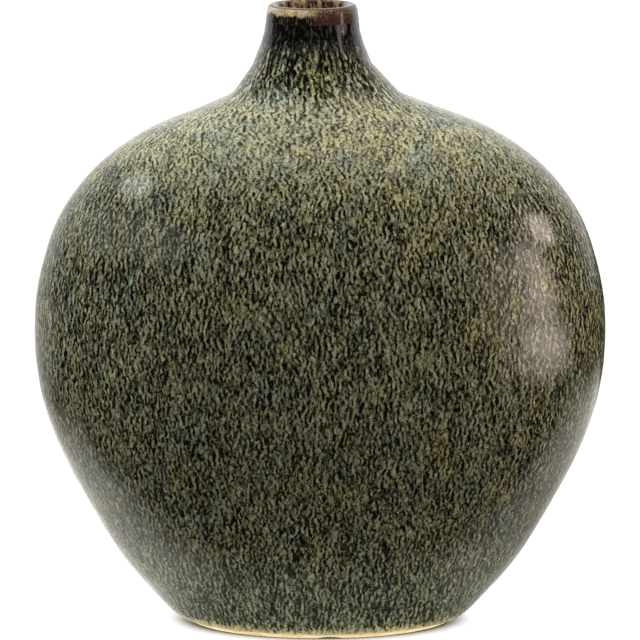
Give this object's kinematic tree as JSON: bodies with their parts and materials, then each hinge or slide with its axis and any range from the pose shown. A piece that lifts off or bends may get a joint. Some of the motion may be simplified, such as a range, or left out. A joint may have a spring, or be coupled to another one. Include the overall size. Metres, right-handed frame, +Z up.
{
  "type": "bottle vase",
  "caption": "Flattened stoneware bottle vase with a bulging oval body, short flared neck, round lip and bare clay foot, coated in mottled reactive glaze.",
  "frame": {"origin": "middle of the foot, on the plane that the vase stands on", "axes": "+Z up through the neck; X across the broad faces; -Y is the front face"},
  "size_m": [0.2722, 0.136, 0.3],
  "materials": {
    "stoneware": "matte bare fired clay",
    "outer_glaze": "glossy mottled olive, grey and dark brown",
    "lip_glaze": "glossy iron brown, breaking to tan",
    "liner_glaze": "glossy tan with brown runs"
  },
  "bodies": {
    "root": {"stoneware_body": "stoneware", "outer_glaze": "outer_glaze", "lip_glaze": "lip_glaze", "liner_glaze": "liner_glaze"}
  },
  "joints": []
}
